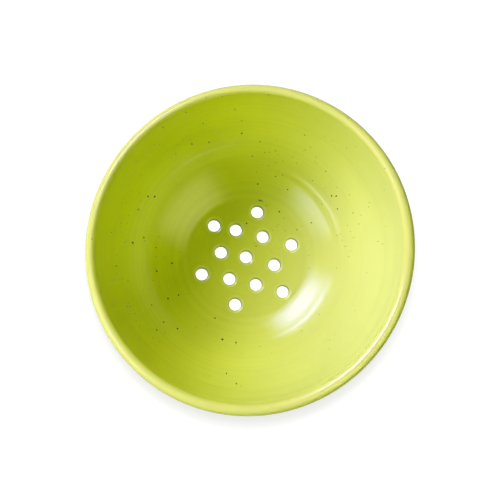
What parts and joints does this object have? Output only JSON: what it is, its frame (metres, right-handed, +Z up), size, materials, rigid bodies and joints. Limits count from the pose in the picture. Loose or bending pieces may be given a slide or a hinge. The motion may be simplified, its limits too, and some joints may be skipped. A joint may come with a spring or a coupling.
{
  "type": "berry colander bowl",
  "caption": "Round glazed stoneware bowl with a thick rounded lip, a star of drain holes in its dished floor and a notched foot ring, for rinsing and draining berries.",
  "frame": {"origin": "middle of the plane that the foot ring stands on", "axes": "+Z up along the axis the bowl was turned about, +X along the rows of drain holes and through one notch"},
  "size_m": [0.152, 0.152, 0.074],
  "materials": {
    "stoneware": "bare fired buff clay, matte",
    "lime_glaze": "satin lime-green glaze with brown iron specks",
    "thin_rim_glaze": "the same glaze run thin and pale over the lip"
  },
  "bodies": {
    "root": {"stoneware_body": "stoneware", "foot_ring": "stoneware", "inside_glaze": "lime_glaze", "rim_glaze": "thin_rim_glaze", "outside_glaze": "lime_glaze", "underside_glaze": "lime_glaze", "drain_hole_glaze": "lime_glaze"}
  },
  "joints": []
}
